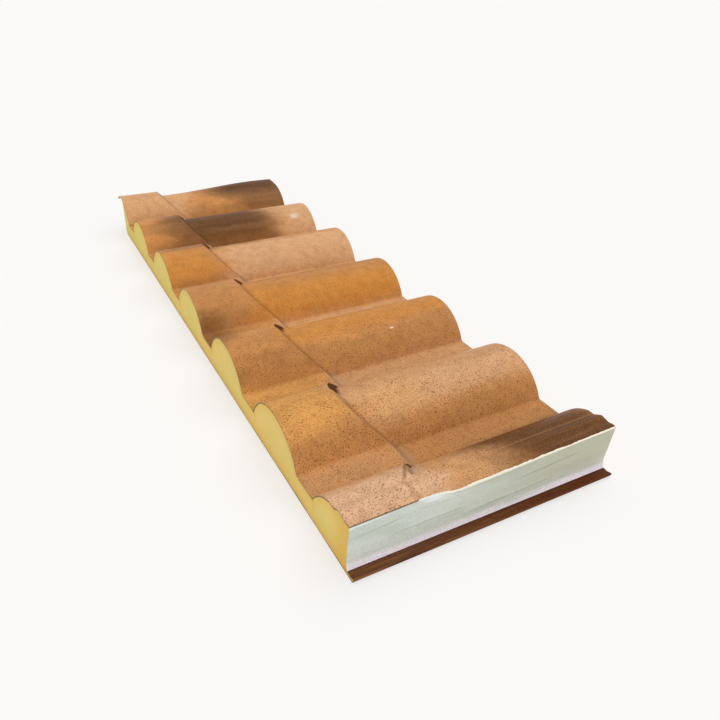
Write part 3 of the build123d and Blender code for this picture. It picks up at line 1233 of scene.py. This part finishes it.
    def _on_riser(self, point: Vector) -> bool:
        """Whether a point lies in the plane of the riser."""
        return abs(point.x + point.z - self.riser_sum) < PLANE_DIST


@dataclass(frozen=True)
class Crease:
    """One long crease in the paper: where it starts and ends, how far it stands out, and how dark
    the painted shadow line below it is.
    """

    start: tuple[float, float]
    end: tuple[float, float]
    proud: float
    width: float
    ink: float = 0.5


@dataclass
class PaperFacing:
    """The wrinkled paper on the core's near edge, folded over the sheet's rim where it is torn.

    Below turn_height the paper curves in to its foot. From torn_from to torn_to along the panel
    it passes from tucked under the rim to folded over it. rim_share is how much of the grid's
    height lies below the rim, and the rest is the free edge.
    """

    skin: PressedSkin
    lean: float = 0.0026
    turn_height: float = 0.0130
    foot: float = 0.0006
    foot_height: float = 0.0045
    gauge: float = 0.0004
    torn_from: float = -0.100
    torn_to: float = -0.093
    fold_over: float = 0.0015
    tuck: float = 0.0002
    tuck_reach: float = 0.0008
    end_curl: float = 0.0022
    flap_x: float = -0.078
    flap_width: float = 0.013
    pucker: float = 0.0016
    pucker_width: float = 0.014
    soft_wrinkle: float = 0.00035
    fine_wrinkle: float = 0.00016
    crease_sway: float = 0.0012
    white_corner: tuple[float, float] = (-0.160, -0.170)
    white_rim: tuple[float, float] = (-0.10, -0.17)
    rim_share: float = 0.90
    along_steps: int = 190
    up_steps: int = 60
    creases: tuple[Crease, ...] = (
        Crease((-0.125, 0.0300), (-0.030, 0.0310), 0.0006, 0.0014),
        Crease((-0.094, 0.0510), (-0.040, 0.0500), 0.0011, 0.0012),
        Crease((-0.060, 0.0560), (0.060, 0.0575), 0.0013, 0.0016),
        Crease((-0.170, 0.0450), (-0.110, 0.0500), 0.0005, 0.0022),
        Crease((0.020, 0.0410), (0.130, 0.0480), 0.0005, 0.0030),
        Crease((-0.040, 0.0190), (0.100, 0.0230), 0.0004, 0.0026),
    )

    def build(self, material: bpy.types.Material) -> bpy.types.Object:
        """Lays a grid on the core's edge, wrinkles it and gives it its thickness.

        Args:
            material: the paper's finish.

        Returns:
            The piece.
        """
        bm = bmesh.new()
        bmesh.ops.create_grid(bm, x_segments=self.along_steps, y_segments=self.up_steps, size=0.5)
        torn = bm.verts.layers.float.new("torn")
        crinkle = bm.verts.layers.float.new("crinkle")
        for vert in bm.verts:
            along, up = vert.co.x + 0.5, vert.co.y + 0.5
            vert.co, vert[torn], vert[crinkle] = self._place(along, up)
        bmesh.ops.recalc_face_normals(bm, faces=bm.faces)
        if sum(f.normal.y for f in bm.faces) > 0:
            bmesh.ops.reverse_faces(bm, faces=bm.faces)
        bmesh.ops.solidify(bm, geom=bm.faces[:], thickness=self.gauge)
        Piece.hold(bm, Vector((self.skin.low.x, CAD_BOX[0][1], CAD_BOX[0][2])), CAD_BOX[1])
        return Piece.finish(bm, "wrinkled_near_facing", "facing", material, 50.0)

    def _place(self, along: float, up: float) -> tuple[Vector, float, float]:
        """Where a point of the paper lies, and how torn and how crinkled it is there.

        Args:
            along: from 0 at the upper cut to 1 at the lower one.
            up: from 0 at the foot to 1 at the free edge.

        Returns:
            The point, the share of torn cream edge and the share of white crinkle.
        """
        skin = self.skin
        x = skin.low.x + along * (skin.high.x - skin.low.x)
        rim = skin.rim_height(x)
        share = min(up / self.rim_share, 1.0)
        z = self.foot_height + (rim - self.foot_height) * share
        folded = smooth(x, self.torn_from, self.torn_to)
        if up > self.rim_share:
            over = (up - self.rim_share) / (1 - self.rim_share)
            point = self._free_edge(x, rim, over, folded)
        else:
            wrinkle = self._wrinkle(x, z) * smooth(share, 0.0, 0.08)
            under = (skin.gauge + self.tuck) * (1 - folded) * smooth(share, 0.9, 1.0)
            point = Vector((x, skin.low.y + self._hollow(z, rim) - wrinkle, z - under))
        curl = self.end_curl * (0.5 + 0.5 * ripple(0.0, z * 130.0, 5.0))
        point.x -= smooth(along, 0.97, 1.0) * curl * smooth(share, 0.05, 0.2)
        lip = smooth(share, 0.982, 1.0) * folded
        corner = smooth(x, *self.white_corner) * smooth(share, 0.90, 0.99) * (1 - folded)
        flap = math.exp(-((x - self.flap_x) / self.flap_width) ** 2)
        flap *= smooth(z, rim - 0.010, rim - 0.004)
        white_rim = smooth(x, *self.white_rim) * smooth(share, 0.93, 0.99) * (1 - folded)
        return point, lip, max(corner, flap * 0.9, white_rim * 0.9)

    def _free_edge(self, x: float, rim: float, over: float, folded: float) -> Vector:
        """Where a point of the paper's free edge lies.

        Args:
            x: its place along the panel.
            rim: the height of the sheet's rim there.
            over: from 0 at the rim to 1 at the paper's end.
            folded: 0 where the paper is tucked under the rim, 1 where it is folded over it.

        Returns:
            The point.
        """
        skin = self.skin
        ragged = 0.75 + 0.6 * ripple(x * 55.0, 3.0, 0.0) + 0.4 * ripple(x * 240.0, 9.0, 0.0)
        reach = over * self.fold_over * max(ragged, 0.15) * (0.6 + 0.4 * smooth(x, -0.09, 0.0))
        climb = skin.rim_fall * min(reach / skin.rim_run, 1.0)
        climb += self.gauge * 1.8 * smooth(over, 0, 0.12)
        up_and_over = Vector((x, skin.low.y - self.tuck + reach, rim + climb))
        tucked = Vector((x, skin.low.y + self.tuck + over * self.tuck_reach,
                         rim - skin.gauge - self.tuck))
        return tucked.lerp(up_and_over, folded)

    def _hollow(self, z: float, rim: float) -> float:
        """How far the core's edge lies behind the rim.

        Args:
            z: the height on the edge.
            rim: the rim's height there.

        Returns:
            The distance. It is negative where the foot stands out.
        """
        if z >= self.turn_height:
            return self.lean * smooth((rim - z) / (rim - self.turn_height), -0.4, 1.15)
        foot = ((self.turn_height - z) / (self.turn_height - self.foot_height)) ** 1.7
        return self.lean - (self.lean + self.foot) * foot

    def _wrinkle(self, x: float, z: float) -> float:
        """How far the paper stands out from the core.

        Args:
            x: the place along the panel.
            z: the height on the edge.

        Returns:
            The distance.
        """
        proud = self.soft_wrinkle * (1 + ripple(x * 12.0, z * 70.0, 0.0)) \
            + self.fine_wrinkle * (1 + ripple(x * 45.0, z * 240.0, 7.0))
        for crease in self.creases:
            (x0, z0), (x1, z1) = crease.start, crease.end
            share = (x - x0) / (x1 - x0)
            line = z0 + (z1 - z0) * share + self.crease_sway * ripple(x * 20.0, z0 * 90.0, 2.0)
            ends = smooth(share, -0.02, 0.15) * smooth(share, 1.05, 0.75)
            proud += crease.proud * ends * math.exp(-((z - line) / crease.width) ** 2)
        flap = math.exp(-((x - self.flap_x) / self.pucker_width) ** 2) * smooth(z, 0.050, 0.058)
        return proud + self.pucker * flap


@dataclass(frozen=True)
class PhotoCamera:
    """The camera, where the picture of the panel was taken from. Its angles are in radians."""

    azimuth: float = -0.535495919
    elevation: float = 0.54195409
    roll: float = 0.0605440131
    lens: float = 31.377
    sensor_width: float = 36.0
    position: tuple[float, float, float] = (-0.37653, -0.86164, 0.47942)

    def build(self) -> None:
        """Makes the scene's camera."""
        level = math.cos(self.elevation)
        back = Vector((math.sin(self.azimuth) * level, -math.cos(self.azimuth) * level,
                       math.sin(self.elevation)))
        right = (-back).cross(Vector((0, 0, 1))).normalized()
        up = right.cross(-back)
        cos, sin = math.cos(self.roll), math.sin(self.roll)
        axes = (cos * right + sin * up, cos * up - sin * right, back)
        turned = Matrix(axes).transposed().to_4x4()
        data = bpy.data.cameras.new("camera")
        data.lens = self.lens
        data.sensor_width = self.sensor_width
        camera = bpy.data.objects.new("camera", data)
        camera.matrix_world = Matrix.Translation(self.position) @ turned
        bpy.context.scene.collection.objects.link(camera)
        bpy.context.scene.camera = camera


@dataclass(frozen=True)
class Lamp:
    """One broad, far lamp, whose light is even over the whole floor."""

    name: str
    towards: tuple[float, float, float]
    spread_deg: float
    strength: float

    def build(self) -> None:
        """Hangs the lamp."""
        data = bpy.data.lights.new(self.name, "SUN")
        data.angle = math.radians(self.spread_deg)
        data.energy = self.strength
        lamp = bpy.data.objects.new(self.name, data)
        lamp.rotation_euler = Vector(self.towards).to_track_quat("Z", "Y").to_euler()
        bpy.context.scene.collection.objects.link(lamp)


@dataclass
class Studio:
    """A pale floor under soft light, with a white surround."""

    floor_size: float = 8.0
    floor_finish: FloorFinish = FloorFinish(colour=(0.92, 0.91, 0.905), white=(0.965, 0.945, 0.93),
                                            glow=0.62, clear_from=1.0, clear_to=3.4)
    surround: float = 0.66
    lamps: tuple[Lamp, ...] = (
        Lamp("key_lamp", (0.42, 0.30, 0.86), 50.0, 0.95),
        Lamp("front_lamp", (-0.35, -0.75, 0.62), 60.0, 0.70),
    )

    def build(self) -> None:
        """Lays the floor, lights the lamps and paints the surround."""
        bm = bmesh.new()
        bmesh.ops.create_grid(bm, x_segments=1, y_segments=1, size=self.floor_size / 2)
        mesh = bpy.data.meshes.new("floor")
        bm.to_mesh(mesh)
        bm.free()
        mesh.materials.append(self.floor_finish.material())
        floor = bpy.data.objects.new("floor", mesh)
        bpy.context.scene.collection.objects.link(floor)
        for lamp in self.lamps:
            lamp.build()
        self._paint_surround()
        bpy.context.scene.view_settings.view_transform = "Standard"

    def _paint_surround(self) -> None:
        """Paints the world: near white where the camera sees it, and soft light elsewhere."""
        world = bpy.data.worlds.new("surround")
        bpy.context.scene.world = world
        bench = Bench(world)
        kind = "ShaderNodeBackground"
        light = bench.node(kind, None, Color=(1.0, 1.0, 1.0), Strength=self.surround)
        white = bench.node(kind, None, Color=self.floor_finish.white, Strength=1.0)
        bench.end(bench.mixed(bench.seen(), light, white), "ShaderNodeOutputWorld")


def main() -> None:
    """Builds the panel's pieces in order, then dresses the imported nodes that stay."""
    logging.basicConfig(level=logging.INFO, format="%(name)s %(message)s")
    PhotoCamera().build()
    Studio().build()
    skin = PressedSkin()
    facing = PaperFacing(skin)
    paper = PaperFinish(creases=facing.creases).material()
    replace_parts(skin.build(PrintedSteelFinish(skin).material()), "top_sheet")
    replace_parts(facing.build(paper), "near_edge_facing")
    dressed = {"foam_core": FoamFinish(skin).material(),
               "liner_sheet": WoodPrintFinish().material(), "far_edge_facing": paper}
    for node, material in dressed.items():
        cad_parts[node].material_slots[0].material = material
        LOG.info("%s: packed shape, dressed in %s", node, material.name)


if __name__ == "__main__":
    main()
